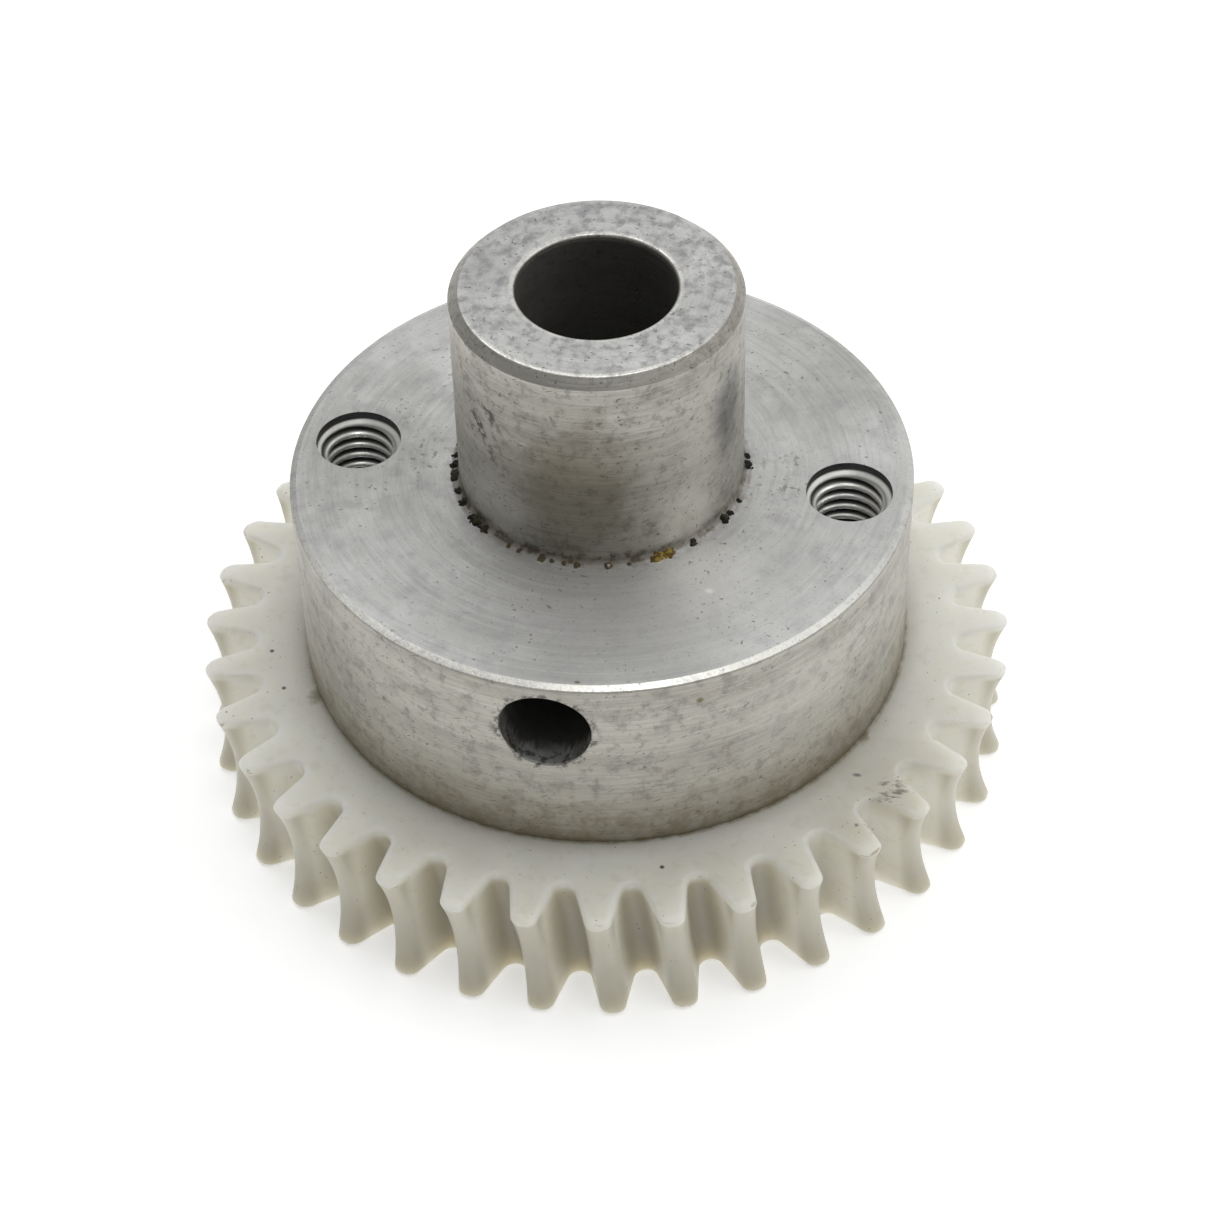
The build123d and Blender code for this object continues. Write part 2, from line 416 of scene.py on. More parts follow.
def turned_hub():
    skin = Skin()
    bore_mouth = bore_radius + 2 * bore_edge
    bore_top_mouth = bore_radius + bore_top_edge + straight
    skin.flat(circle(spigot_radius - spigot_edge - straight, 0),
              [circle(bore_mouth, 0, count=bore_count)], -1)
    skin.grid(turned(rounded(
        [(spigot_radius - spigot_edge - straight, 0), (spigot_radius, 0), (spigot_radius, flange_bottom)],
        [spigot_edge])))
    rim = flange_radius - worn_edge_width - straight
    skin.flat(circle(rim, flange_bottom),
              [circle(spigot_radius, flange_bottom)]
              + [circle(engaged_hole_radius, flange_bottom, hole, tap_count) for hole in tapped_spots], -1)
    side_low = flange_bottom + flange_edge + straight
    side_high = flange_top - worn_edge_drop - straight
    skin.grid(turned(rounded(
        [(rim, flange_bottom), (flange_radius, flange_bottom), (flange_radius, side_low)], [flange_edge])))
    half_width = flange_radius * window_columns * pi / around
    mouth_radius = access_radius + access_edge
    angles = hole_angles(half_width, mouth_radius * window_share)
    drilled_wall(skin, flange_radius, side_low, side_high, mouth_radius, angles, 1, around)
    skin.grid(turned(rounded(
        [(flange_radius, side_high), (flange_radius, flange_top - worn_edge_drop),
         (flange_radius - worn_edge_width, flange_top), (rim, flange_top)],
        worn_edge_roundings)))
    skin.flat(circle(rim, flange_top),
              [circle(foot_end, flange_top, count=boss_count)]
              + [circle(countersink_radius, flange_top, hole, tap_count) for hole in tapped_spots], 1)
    # the boss, with crumbs of old dirt in the corner at its foot
    foot = rounded([(foot_end, flange_top), (boss_radius, flange_top), (boss_radius, foot_top)],
                   [boss_foot], 16)
    skin.grid(crumbed(foot))
    boss_rim = boss_radius - boss_bevel - straight
    skin.grid(turned(rounded(
        [(boss_radius, foot_top), (boss_radius, boss_top - boss_bevel), (boss_radius - boss_bevel, boss_top),
         (boss_rim, boss_top)], [0.6 * boss_bevel_rounding, boss_bevel_rounding]), boss_count))
    skin.flat(circle(boss_rim, boss_top, count=boss_count),
              [circle(bore_top_mouth, boss_top, count=bore_count)], 1)
    bore_low, bore_high = 4 * bore_edge, boss_top - 4 * bore_edge
    skin.grid(turned(rounded(
        [(bore_top_mouth, boss_top), (bore_radius, boss_top), (bore_radius, bore_high)],
        [bore_top_edge], 8), bore_count))
    drilled_wall(skin, bore_radius, bore_low, bore_high, engaged_hole_radius, angles, -1, bore_count)
    skin.grid(turned(rounded(
        [(bore_radius, bore_low), (bore_radius, 0), (bore_mouth, 0)], [bore_edge]), bore_count))
    clamp_hole(skin, angles, mouth_radius)
    for spot in tapped_spots:
        tapped_hole(skin, *spot)
    return skin.build("turned_hub")


# ---- tooth ring ----
def tip_radius(level):
    """Radius of the tooth tips at a height above the ring's middle."""
    half = ring_mid - tip_chamfer
    rise = face_tip_radius - throat_tip_radius
    arc = (half**2 + rise**2) / (2 * rise)
    if abs(level) < half:
        return throat_tip_radius + arc - sqrt(arc**2 - level**2)
    return face_tip_radius - (abs(level) - half)


def ring_outline(level, inset):
    """The toothed outline at a height above the ring's middle, drawn in by inset."""
    floor_arc = throat_radius + tooth_depth
    floor = worm_distance - sqrt(floor_arc**2 - level**2)
    tip = tip_radius(level)
    half_pitch = pi / tooth_count

    def half_gap(x):
        return gap_half_floor + (floor_arc - sqrt((worm_distance - x)**2 + level**2)) * tan(pressure_angle)

    corner_x = tip
    for _ in range(6):
        corner_x = sqrt(tip**2 - half_gap(corner_x)**2)
    corners = [(floor, 0), (floor, gap_half_floor), (corner_x, half_gap(corner_x)),
               (tip * cos(half_pitch), tip * sin(half_pitch))]
    half = np.array(rounded(corners, [gap_corner_radius, tip_corner_radius], 9))
    along_flank = np.linspace(half[10], half[11], 5)[1:-1]
    half = np.concatenate([half[:11], along_flank, half[11:]])
    turn = np.arctan2(half[:, 1], half[:, 0])
    radius = np.hypot(half[:, 0], half[:, 1])
    turn = np.concatenate([turn, 2 * half_pitch - turn[-2:0:-1]])
    radius = np.concatenate([radius, radius[-2:0:-1]])
    turn = np.concatenate([turn + 2 * half_pitch * n for n in range(tooth_count)])
    turn += half_pitch
    radius = np.tile(radius, tooth_count)
    turn -= level * tan(lead_angle) / radius
    loop = np.stack([radius * np.cos(turn), radius * np.sin(turn)], -1)
    ahead = np.roll(loop, -1, 0) - np.roll(loop, 1, 0)
    out = np.stack([ahead[:, 1], -ahead[:, 0]], -1)
    loop -= inset * out / np.linalg.norm(out, axis=1, keepdims=True)
    return np.concatenate([loop, np.full((len(loop), 1), ring_mid + level)], 1)


def nylon_ring():
    skin = Skin()
    edge = ring_edge_radius
    curve = [(ring_mid - edge * (1 - sin(t)), edge * (1 - cos(t))) for t in np.linspace(0, pi / 2, 7)]
    middle = ring_mid - edge
    levels = [(-level, inset) for level, inset in curve[::-1]]
    levels += [(level, 0) for level in np.linspace(-middle, middle, ring_levels)[1:-1]]
    levels += curve
    rows = np.stack([ring_outline(*level) for level in levels])
    skin.grid(rows)
    for row, up, hole_radius in ((rows[-1], 1, ring_hole_radius), (rows[0], -1, screw_seat_radius)):
        web = row * np.array([1, 1, 0])
        web *= web_radius / np.linalg.norm(web, axis=1, keepdims=True)
        web[:, 2] = row[:, 2]
        band = np.stack([row, row * 0.4 + web * 0.6, web][::up])
        skin.grid(band, normals=np.zeros(band.shape) + (0, 0, up))
        height = row[0, 2]
        skin.flat(web, [circle(ring_bore_radius, height)]
                  + [circle(hole_radius, height, hole, tap_count) for hole in tapped_spots], up)
    skin.grid(turned([(ring_bore_radius, ring_high.z), (ring_bore_radius, ring_low.z)]))
    for hole in tapped_spots:
        seat_depth = screw_seat_radius - ring_hole_radius
        skin.grid([circle(radius, height, hole, tap_count) for radius, height in (
            (ring_hole_radius, ring_high.z), (ring_hole_radius, seat_depth + seat_crease),
            (ring_hole_radius, seat_depth), (ring_hole_radius + seat_crease, seat_depth - seat_crease),
            (screw_seat_radius, ring_low.z))])
    return skin.build("nylon_ring")


# ---- clamp screw: a socket set screw with a cup point, made along +Z and laid along -Y ----
def threaded_set_screw():
    skin = Skin()
    length = set_screw_high.y - set_screw_low.y
    turns = np.arange(tap_count) * 2 * pi / tap_count
    skin.flat(circle(cup_floor_radius, cup_depth, count=tap_count), [], -1)
    skin.grid(turned([(cup_floor_radius, cup_depth), (cup_radius, 0)], tap_count))
    end_radius = screw_radius - set_screw_edge
    skin.flat(circle(end_radius, 0, count=tap_count), [circle(cup_radius, 0, count=tap_count)], -1)
    rows = []
    for height in np.linspace(0, length, 101):
        radius = screw_radius - thread_depth * thread_rise(turns / (2 * pi) - height / thread_pitch)
        radius = np.minimum(radius, end_radius + min(height, length - height))
        rows.append(circle(radius, height, count=tap_count))
    skin.grid(rows)
    corner_radius = hex_socket_flats / sqrt(3)
    skin.flat(circle(end_radius, length, count=tap_count),
              [circle(corner_radius, length, count=6)], 1)
    mouth = circle(corner_radius, length, count=6)
    floor = circle(corner_radius, length - hex_socket_depth, count=6)
    for n in range(6):
        wall = np.stack([mouth[[n - 1, n]], floor[[n - 1, n]]])
        inward = -(mouth[n - 1] + mouth[n]) * (1, 1, 0)
        skin.grid(wall, closed=False, normals=np.zeros(wall.shape) + inward / np.linalg.norm(inward))
    skin.flat(floor, [], 1)
    return skin.build("threaded_set_screw", Matrix((
        (1, 0, 0, 0), (0, 0, -1, set_screw_high.y), (0, 1, 0, clamp_height), (0, 0, 0, 1))))


# ---- materials ----
class Nodes:
    """The nodes of a material or a world. A value is a number or a node's output socket."""

    def __init__(self, owner):
        owner.use_nodes = True
        self.tree = owner.node_tree

    def node(self, kind, *values, **settings):
        node = self.tree.nodes.new(kind)
        for name, setting in settings.items():
            setattr(node, name, setting)
        for socket, value in zip(node.inputs, values):
            self.put(socket, value)
        return node

    def put(self, socket, value):
        if isinstance(value, bpy.types.NodeSocket):
            self.tree.links.new(value, socket)
        else:
            socket.default_value = value

    def fill(self, node, **values):
        """Puts values in a node's sockets by name, with _ for a space."""
        for name, value in values.items():
            self.put(node.inputs[name.replace("_", " ")], value)
        return node

    def math(self, operation, *values, clamp=False):
        return self.node("ShaderNodeMath", *values, operation=operation, use_clamp=clamp).outputs[0]


class Paint(Nodes):
    """The nodes of one material."""

    def __init__(self, name, **uniform):
        self.material = bpy.data.materials.new(name)
        super().__init__(self.material)
        self.shader = self.tree.nodes["Principled BSDF"]
        self.fill(self.shader, **uniform)
        place = self.node("ShaderNodeTexCoord").outputs["Object"]
        scaled = self.node("ShaderNodeVectorMath", place, operation="SCALE")
        self.point = self.fill(scaled, Scale=1 / MM).outputs[0]
        split = self.node("ShaderNodeSeparateXYZ", self.point)
        self.x, self.y, self.z = split.outputs
        self.radius = self.hypot(self.x, self.y)

    def plus(self, first, second):
        return self.math("ADD", first, second)

    def minus(self, first, second):
        return self.math("SUBTRACT", first, second)

    def hypot(self, first, second):
        return self.math("SQRT", self.plus(self.both(first, first), self.both(second, second)))

    def smooth(self, value, low, high, to_low=0.0, to_high=1.0):
        """to_low where value is at low, to_high where it is at high, and a smooth step between."""
        node = self.node("ShaderNodeMapRange", value, low, high, to_low, to_high)
        node.interpolation_type = "SMOOTHSTEP"
        return node.outputs[0]

    def both(self, *masks, operation="MULTIPLY"):
        """Masks multiplied. A mask is a number, a socket or a tuple of what smooth takes."""
        masks = [self.smooth(*mask) if isinstance(mask, tuple) else mask for mask in masks]
        result = masks[0]
        for mask in masks[1:]:
            result = self.math(operation, result, mask)
        return result

    def either(self, *masks):
        return self.both(*masks, operation="MAXIMUM")

    def vector(self, x, y, z):
        return self.node("ShaderNodeCombineXYZ", x, y, z).outputs[0]

    def noise(self, point, size, detail=2.0, roughness=0.5, w=None):
        """Noise with blobs about size wide, 0 to 1."""
        node = self.node("ShaderNodeTexNoise", noise_dimensions="3D" if w is None else "4D")
        if w is not None:
            self.put(node.inputs["W"], w)
        self.fill(node, Vector=point, Scale=1 / size, Detail=detail, Roughness=roughness)
        return node.outputs["Fac"]

    def mix(self, share, first, second, blend="MIX"):
        node = self.node("ShaderNodeMix", data_type="RGBA", blend_type=blend)
        self.put(node.inputs["Factor"], self.both(share))
        for name, value in (("A", first), ("B", second)):
            if isinstance(value, tuple):
                value = (*value, 1.0)
            self.put(next(s for s in node.inputs if s.name == name and s.type == "RGBA"), value)
        return next(s for s in node.outputs if s.type == "RGBA")

    def coats(self, colour, *coats, blend="MIX"):
        """Coats laid over a colour. Each is a colour and the masks that say where it lies."""
        for coat, *masks in coats:
            colour = self.mix(self.both(*masks), colour, coat, blend)
        return colour

    def mixed(self, share, first, second):
        """A number between first and second."""
        return self.smooth(share, 0.0, 1.0, first, second)

    def near(self, spot, size, ragged=0.0, grain=0.5):
        """1 at a spot in mm, falling to 0 at size from it, one number or three, with a ragged edge."""
        if not isinstance(size, tuple):
            size = (size, size, size)
        off = self.node("ShaderNodeVectorMath", self.point, spot, operation="SUBTRACT").outputs[0]
        off = self.node("ShaderNodeVectorMath", off, size, operation="DIVIDE").outputs[0]
        far = self.node("ShaderNodeVectorMath", off, operation="LENGTH").outputs["Value"]
        if ragged:
            uneven = self.minus(self.noise(self.point, grain, 3.0), 0.5)
            far = self.math("MULTIPLY_ADD", uneven, ragged * 2, far)
        return self.smooth(far, 1.0, 0.25)

    def streaks(self, tilt, width, length, place=0.0):
        """Noise drawn out along lines on the walls round Z, tilted from level by tilt degrees."""
        round_z = self.both(self.math("ARCTAN2", self.y, self.x), self.radius)
        c, s = cos(radians(tilt)), sin(radians(tilt))
        along = self.plus(self.both(round_z, c), self.both(self.z, s))
        across = self.minus(self.both(self.z, c), self.both(round_z, s))
        point = self.vector(self.math("DIVIDE", along, length), self.math("DIVIDE", across, width), place)
        return self.noise(point, 1.0, 2.0)

    def bump(self, height, strength, distance):
        node = self.node("ShaderNodeBump")
        return self.fill(node, Height=height, Strength=strength, Distance=distance * MM).outputs[0]

    def finish(self, **sockets):
        self.fill(self.shader, **sockets)
        return self.material


class TurnedAluminium(Paint):
    """Aged aluminium, turned on a lathe. Each layer goes over the colour so far. Sizes are in mm."""

    top, bottom, tall = flange_top / MM, flange_bottom / MM, boss_top / MM
    boss, rim, inside = boss_radius / MM, flange_radius / MM, bore_radius / MM

    def __init__(self):
        super().__init__("aged_turned_aluminium", Anisotropic=0.3)
        self.up = self.minus(self.z, self.top)          # above the flange's top face
        self.over = self.minus(self.z, self.tall)       # above the boss's top face
        self.out = self.minus(self.radius, self.boss)   # outside the boss's wall
        self.past = self.minus(self.radius, self.rim)   # outside the flange's rim
        self.cos_turn = self.math("DIVIDE", self.x, self.radius)
        self.sin_turn = self.math("DIVIDE", self.y, self.radius)
        self.fine = self.lathe(0.1, 7.0, 2.0)
        self.rings = self.lathe(0.3, 9.0)
        self.clouds = self.noise(self.point, 4.0, 4.0, 0.6)
        self.patches = self.noise(self.point, 1.1, 5.0, 0.65)
        self.blots = self.noise(self.point, 0.55, 5.0, 0.7)
        self.grain = self.noise(self.point, 0.13, 2.0, 0.6)
        self.pits = self.noise(self.point, 0.26, 2.0, 0.5)
        self.level_streaks = self.streaks(0.6, 0.16, 2.6)
        normal = self.node("ShaderNodeNewGeometry").outputs["Normal"]
        upright = self.math("ABSOLUTE", self.node("ShaderNodeSeparateXYZ", normal).outputs["Z"])
        self.face = self.smooth(upright, 0.72, 0.9)
        self.side = self.minus(1.0, self.face)
        self.on_boss = self.both((self.out, 0.5, 0.1), (self.up, 0.0, 0.3))
        self.on_flange = self.minus(1.0, self.on_boss)
        self.oxide = self.both(self.on_boss, (self.blots, 0.45, 0.67), (self.patches, 0.25, 0.6))
        self.scratches = self.either((self.streaks(17, 0.1, 2.0, 3.0), 0.66, 0.7),
                                     (self.streaks(-28, 0.09, 1.2, 7.0), 0.67, 0.71))
        self.specks = self.both((self.pits, 0.66, 0.71), self.either((self.clouds, 0.35, 0.62), self.on_boss))
        self.chip = self.near((1.75, -7.45, 18.25), 0.2)

    def lathe(self, size, length, detail=3.0):
        """Noise drawn out round the axis, as a cutting tool leaves it."""
        stretch = size / length * self.boss
        turn = self.vector(self.radius, self.z, self.both(self.cos_turn, stretch))
        across = self.math("DIVIDE", self.both(self.sin_turn, stretch), size)
        return self.noise(turn, size, detail, 0.55, w=across)

    def faces(self):
        """Turned rings under patches of oxide, most of all on the boss, with a painted sheen on the flange's
        front right and by the boss's foot, painted shade on the flange's left and back right, and a darker
        patch on the left of the boss's top.
        """
        top, patches, on_flange = self.top, self.patches, self.on_flange
        colour = self.mix((self.clouds, 0.35, 0.68), (0.54, 0.54, 0.525), (0.645, 0.645, 0.63))
        colour = self.coats(
            colour,
            ((0.43, 0.42, 0.43), (patches, 0.47, 0.67), 0.45),
            ((0.38, 0.38, 0.37), (self.rings, 0.42, 0.67), 0.36),
            ((0.74, 0.74, 0.73), (self.fine, 0.46, 0.68), 0.24),
            ((0.27, 0.262, 0.27), self.oxide, 0.5),
            ((0.35, 0.345, 0.35), self.on_boss, (patches, 0.4, 0.7), 0.6),
            # painted sheen: the flange's top painted paler at the front right
            ((0.84, 0.84, 0.825), self.near((6.5, -9.0, top), (10.0, 6.5, 2.0), 0.2, 2.0), on_flange, 0.38))
        # painted shade: the flange's top painted darker on the left and at the back right
        colour = self.coats(
            colour,
            ((0.78, 0.78, 0.77), self.near((-12.2, -1.0, top), (6.0, 9.0, 2.0), 0.3, 2.0), on_flange),
            ((0.84, 0.84, 0.83), self.near((10.5, 9.0, top), (8.0, 6.5, 2.0), 0.3, 2.0), on_flange),
            blend="MULTIPLY")
        return self.coats(
            colour,
            # painted highlight: the flange's top painted paler by the boss's foot at the front right
            ((0.93, 0.925, 0.9), self.near((6.4, -7.2, top), (3.6, 3.6, 1.0), 0.3, 1.5), on_flange, 0.5),
            ((0.34, 0.335, 0.33), self.near((-5.6, 0.4, self.tall), (2.2, 4.0, 1.0), 0.3, 1.0), 0.45))

    def sides(self, colour):
        """The sides are painted darker than the faces, partly as painted shade, with dull streaks and blots,
        and darker and browner low on the flange.
        """
        dull_and_shaded = self.mix((self.lathe(1.5, 9.0, 2.0), 0.35, 0.65), (0.37, 0.35, 0.3), (0.5, 0.48, 0.42))
        dull_and_shaded = self.coats(
            dull_and_shaded,
            ((0.6, 0.59, 0.55), (self.level_streaks, 0.46, 0.66), 0.35),
            ((0.2, 0.195, 0.175), (self.fine, 0.5, 0.65), 0.35),
            ((0.26, 0.25, 0.235), (self.patches, 0.5, 0.64), self.on_flange, 0.45),
            ((0.22, 0.205, 0.17), (self.blots, 0.52, 0.64), 0.35),
            ((0.33, 0.28, 0.185), (self.z, self.bottom + 4.5, self.bottom + 0.3), self.on_flange,
             (self.patches, 0.3, 0.62), 0.8))
        # painted shade: the sides take this darker colour wherever they face sideways
        return self.coats(colour, (dull_and_shaded, self.side, 0.85))

    def painted_shade_and_light_zones(self, colour):
        """Painted shade and painted light on parts of the sides, and a stain on the boss."""
        side, on_flange, on_boss = self.side, self.on_flange, self.on_boss
        # painted shade on the rows that MULTIPLY, painted light and highlights on the rows that MIX
        for blend, spot, size, grain, coat, *masks in (
            ("MULTIPLY", (-12.2, -10.3, 12.5), (5.0, 5.0, 6.0), 1.5, (0.8, 0.8, 0.79), side),
            ("MIX", (12.2, -10.5, 13.0), (5.0, 5.0, 5.5), 1.5, (0.68, 0.665, 0.61), side, on_flange, 0.3),
            ("MULTIPLY", (0.2, -7.1, 22.3), (4.9, 6.2, 6.8), 1.5, (0.54, 0.52, 0.46), side, on_boss),
            ("MULTIPLY", (6.9, -2.4, 25.0), (1.9, 1.9, 3.6), 1.0, (0.5, 0.51, 0.54), side),
            ("MIX", (5.9, -4.4, 22.6), (1.9, 1.9, 6.5), 1.2, (0.66, 0.64, 0.58), side, on_boss, 0.45),
            ("MIX", (5.4, -5.0, 19.6), (2.6, 2.6, 2.9), 1.2, (0.8, 0.775, 0.7), side, on_boss, 0.6),
            ("MIX", (-4.4, -5.8, 20.0), (2.6, 2.6, 3.0), 1.2, (0.66, 0.645, 0.58), side, on_boss, 0.4),
        ):
            colour = self.coats(colour, (coat, self.near(spot, size, 0.3, grain), *masks), blend=blend)
        stain = self.near((-4.8, -5.5, 25.2), (2.2, 2.2, 3.4), 0.5, 0.9)
        return self.coats(colour, ((0.07, 0.07, 0.055), stain, (self.streaks(-55, 0.7, 1.6, 9.0), 0.48, 0.62),
                                   (self.blots, 0.43, 0.55), side, on_boss, 0.85))

    def marks(self, colour):
        """Scratches, nicks, pits and specks."""
        top, side = self.top, self.side
        peppered = self.either(self.near((9.4, 0.4, top), (2.6, 3.2, 1.0), 0.4, 1.0),
                               self.near((-9.0, -1.0, top), (1.6, 3.0, 1.0), 0.4, 1.0))
        spots = self.either(self.near((1.6, -15.4, top), (0.22, 0.14, 0.3), 0.3, 0.2),
                            self.near((7.38, -14.2, 16.48), 0.24, 0.3, 0.2))
        return self.coats(
            colour,
            ((0.62, 0.61, 0.57), self.scratches, side, self.on_flange, 0.45),
            ((0.1, 0.095, 0.08), (self.streaks(24, 0.12, 0.8, 5.0), 0.67, 0.72), side, 0.7),
            ((0.17, 0.155, 0.11), peppered, (self.noise(self.point, 0.42, 3.0, 0.6), 0.58, 0.65), 0.6),
            ((0.1, 0.095, 0.07), self.specks, 0.6),
            ((0.15, 0.12, 0.05), spots, 0.8),
            ((0.22, 0.215, 0.2), (self.grain, 0.56, 0.72), 0.22))

    def worn_edges_and_highlights(self, colour):
        """The flange's top edge, the boss's bevel and the bore's mouth are worn and painted bright; on the
        flange's edge and the boss's bevel the bright paint is strongest at the front, a painted highlight,
        and a painted glint sits on the flange's top.
        """
        up, over, out, past, inside = self.up, self.over, self.out, self.past, self.inside
        edge, low, corner = -worn_edge_width / MM, -worn_edge_drop / MM, -boss_bevel / MM
        worn = self.both((past, edge - 0.02, edge + 0.03), (up, low - 0.05, low + 0.01))
        rub = self.both((over, -0.08, -0.02), (out, corner - 0.22, corner - 0.12),
                        (out, corner + 0.1, corner + 0.05))
        mouth = self.both((self.radius, inside + 0.34, inside + 0.24), (over, -0.35, -0.2))
        self.rubbed = self.either(worn, rub, mouth)
        # painted highlight: the bright paint on the worn edges is strongest at the front
        front = self.smooth(self.sin_turn, -0.35, -0.85, 0.35, 1.0)
        bright = self.either(self.both(worn, front), self.both(rub, front, front, 0.9), self.both(mouth, 0.5))
        return self.coats(
            colour,
            ((0.83, 0.82, 0.755), bright, (self.grain, 0.45, 0.62, 1.0, 0.5),
             (self.blots, 0.48, 0.64, 1.0, 0.4)),
            ((0.12, 0.11, 0.09), (up, low - 0.15, low - 0.07), (up, low + 0.01, low - 0.05),
             (past, -0.1, -0.03), 0.45),
            # painted glint: a small white spot on the flange's top
            ((1.0, 1.0, 0.98), self.near((6.88, -8.23, self.top), (0.34, 0.24, 0.3))))

    def corner_dirt_and_shade(self, colour):
        """Dirt in the corners: the boss's foot, with its crumbs, and grime with painted shade on the flange's
        lower edge.
        """
        up, out, blots, patches, foot = self.up, self.out, self.blots, self.patches, boss_foot / MM
        inner = self.math("SUBTRACT", foot, out, clamp=True)
        upper = self.math("SUBTRACT", foot, up, clamp=True)
        raised = (self.minus(foot, self.hypot(inner, upper)), 0.006, 0.018)
        near_foot = self.both((out, 0.8, 0.2), (up, 0.9, 0.3))
        self.fillet = self.both((out, 0.5, 0.3), (up, 0.5, 0.3))
        self.crumb = self.both(raised, (out, 1.1, 0.9), (up, 1.05, 0.85))
        # grime and painted shade: darker and browner along the flange's lower edge
        self.grime_and_shade = self.both((self.z, self.bottom + 0.55, self.bottom + 0.1), (self.past, -0.5, -0.1),
                               (patches, 0.25, 0.6))
        rust = self.mix((self.pits, 0.47, 0.57), (0.13, 0.08, 0.012), (0.36, 0.25, 0.05))
        crumbs = self.coats(
            self.mix((blots, 0.5, 0.6), (0.012, 0.011, 0.008), (0.055, 0.05, 0.022)),
            ((0.115, 0.088, 0.042), (self.sin_turn, -0.72, -0.92), 0.75),
            (rust, self.near(rusty_crumb, 1.1, 0.3, 0.4)),
            ((0.75, 0.75, 0.72), self.chip))
        dusted = self.smooth(self.x, 2.0, 5.5, 0.6, 0.2)
        return self.coats(
            colour,
            ((0.25, 0.225, 0.19), self.fillet, dusted),
            ((0.2, 0.15, 0.085), near_foot, (blots, 0.48, 0.64), 0.4),
            ((0.075, 0.058, 0.03), near_foot, (out, 0.22, 0.12), (patches, 0.44, 0.56), dusted, 1.1),
            (crumbs, self.crumb),
            ((0.21, 0.18, 0.095), self.grime_and_shade, 0.6))

    def inner_dirt_and_shade(self, colour):
        """Painted shade: the thread roots, the bore, the clamp screw's hole and the tapped holes' mouth walls
        painted near black.
        The thread crests and the tapped holes' lips are painted bright, a painted highlight, and a dark
        blotchy ring lies round the clamp screw's hole.
        """
        x, y, up, inside, rim = self.x, self.y, self.up, self.inside, self.rim
        # tap and access are distances outside the mouths of the tapped holes and the clamp screw's hole
        tap = self.hypot(self.minus(self.math("ABSOLUTE", x), tapped_hole_x / MM), y)
        tap = self.minus(tap, countersink_radius / MM)
        root = self.both((tap, 0.1, 0.0), (tap, -0.46, -0.28), (up, -0.55, -0.7))
        crest = self.both((tap, 0.04, 0.0), (tap, -0.36, -0.48), (up, -0.05, -0.2))
        lip = self.both((tap, 0.015, -0.02), (up, -0.02, -0.12), (up, -0.9, -0.6))
        bore = self.both((self.radius, inside + 0.1, inside), (self.over, -0.2, -0.4))
        access = self.hypot(x, self.minus(self.z, clamp_height / MM))
        access = self.minus(access, access_radius / MM)
        depth = self.plus(y, self.both((self.level_streaks, 0.4, 0.7), 0.8))
        drilled = self.both((access, 0.07, 0.02), (y, 0.5 - inside, -0.2 - inside),
                            (depth, 0.4 - rim, 1.8 - rim))
        self.rubbed = self.either(self.rubbed, crest)
        # dirt and painted shade: the crumbs, the grime and the holes painted dark, for less metal and more
        # roughness
        self.dirt_and_shade = self.either(self.crumb, self.both(root, 0.6), bore, drilled, self.both(self.grime_and_shade, 0.5))
        return self.coats(
            colour,
            ((0.06, 0.06, 0.06), (access, 0.45, 0.15), (y, 1.0 - rim, 0.7 - rim),
             (self.blots, 0.5, 0.6), 0.75),
            # painted highlight: the thread crests and the tapped holes' lips painted bright
            ((0.95, 0.95, 0.91), self.either(crest, self.both(lip, 0.7))),
            # painted shade: the tapped holes' mouth walls painted near black
            ((0.05, 0.05, 0.065), (tap, 0.1, 0.04), (tap, -0.07, -0.03), (up, -0.5, -0.42),
             (up, 0.0, -0.04), 0.85),
            # painted shade: the thread roots, the bore and the clamp screw's hole painted near black
            ((0.018, 0.018, 0.018), self.either(
                self.both(root, 0.92), self.both(bore, 0.8), self.both(drilled, 0.88))))

    def finished(self):
        colour = self.faces()
        for layer in (self.sides, self.painted_shade_and_light_zones, self.marks, self.worn_edges_and_highlights, self.corner_dirt_and_shade, self.inner_dirt_and_shade):
            colour = layer(colour)
        dirt_and_shade, fillet = self.dirt_and_shade, self.fillet
        metal = self.mixed(self.both(self.face, self.on_flange), 0.8, 0.62)
        covered = self.both(self.either(dirt_and_shade, self.both(fillet, 0.6)), 0.75)
        metal = self.math("SUBTRACT", metal, covered, clamp=True)
        roughness = self.plus(self.smooth(self.patches, 0.2, 0.8, 0.4, 0.56), self.either(
            self.both(self.oxide, 0.1), self.both(dirt_and_shade, 0.3), self.both(fillet, 0.3)))
        height = self.plus(self.both(self.fine, 0.6), self.rings)
        height = self.plus(height, self.both(self.blots, self.mixed(self.side, 0.25, 0.7)))
        cuts = self.either(self.specks, self.both(self.scratches, self.side))
        return self.finish(
            Base_Color=colour,
            Metallic=self.either(metal, self.both(self.chip, 0.9)),
            Roughness=self.minus(roughness, self.both(self.rubbed, 0.16)),
            Normal=self.bump(self.minus(height, self.both(cuts, 0.8)), 0.28, 0.03),
            Tangent=self.node("ShaderNodeTangent", direction_type="RADIAL", axis="Z").outputs[0])


